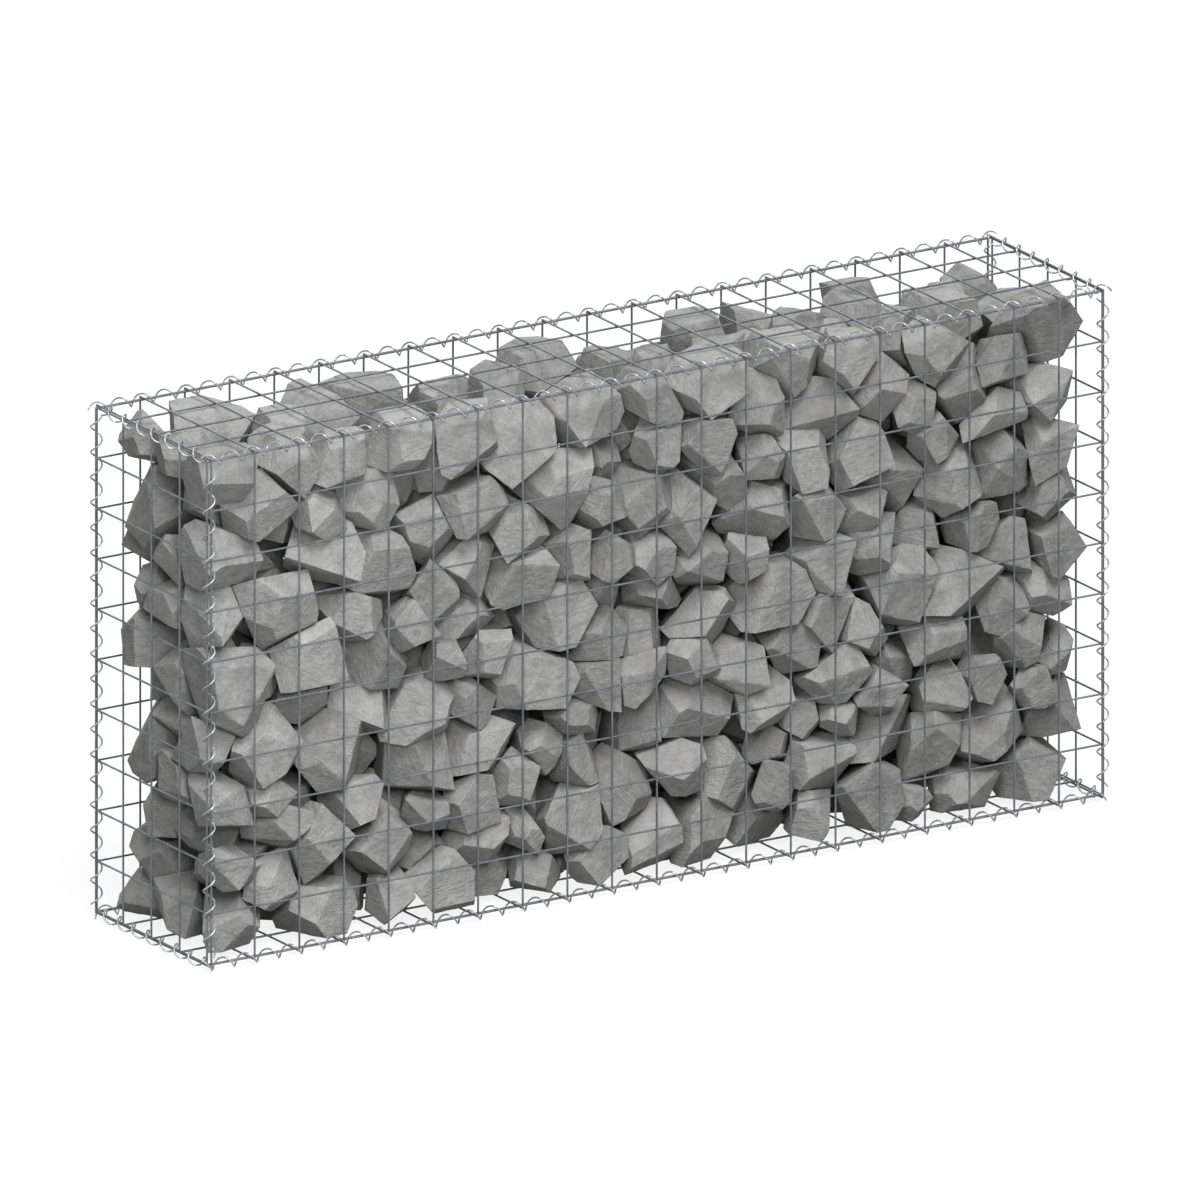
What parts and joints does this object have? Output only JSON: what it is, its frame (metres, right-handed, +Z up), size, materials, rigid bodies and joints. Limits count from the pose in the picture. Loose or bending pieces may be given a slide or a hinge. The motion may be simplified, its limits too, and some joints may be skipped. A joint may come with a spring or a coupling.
{
  "type": "gabion wall",
  "caption": "Free-standing gabion wall: a galvanised welded mesh basket laced along its edges with spiral wire binders and filled with angular quarried stone.",
  "frame": {"origin": "on the ground under the middle of the basket, where its base binders rest", "axes": "+X along the wall from its left end to its right end as seen from the front, +Y from the front face to the back, +Z up"},
  "size_m": [2.0339, 0.418, 1.0204],
  "materials": {
    "mesh_wire": "satin",
    "binder_wire": "satin",
    "quarried_stone": "matte"
  },
  "bodies": {
    "root": {"front_mesh_panel": "mesh_wire", "back_mesh_panel": "mesh_wire", "left_end_mesh_panel": "mesh_wire", "right_end_mesh_panel": "mesh_wire", "lid_mesh_panel": "mesh_wire", "base_mesh_panel": "mesh_wire", "lid_front_spiral": "binder_wire", "lid_back_spiral": "binder_wire", "lid_left_spiral": "binder_wire", "lid_right_spiral": "binder_wire", "base_front_spiral": "binder_wire", "base_back_spiral": "binder_wire", "base_left_spiral": "binder_wire", "base_right_spiral": "binder_wire", "front_left_corner_spiral": "binder_wire", "front_right_corner_spiral": "binder_wire", "back_left_corner_spiral": "binder_wire", "back_right_corner_spiral": "binder_wire", "stone_lift_1": "quarried_stone", "stone_lift_2": "quarried_stone", "stone_lift_3": "quarried_stone"}
  },
  "joints": []
}
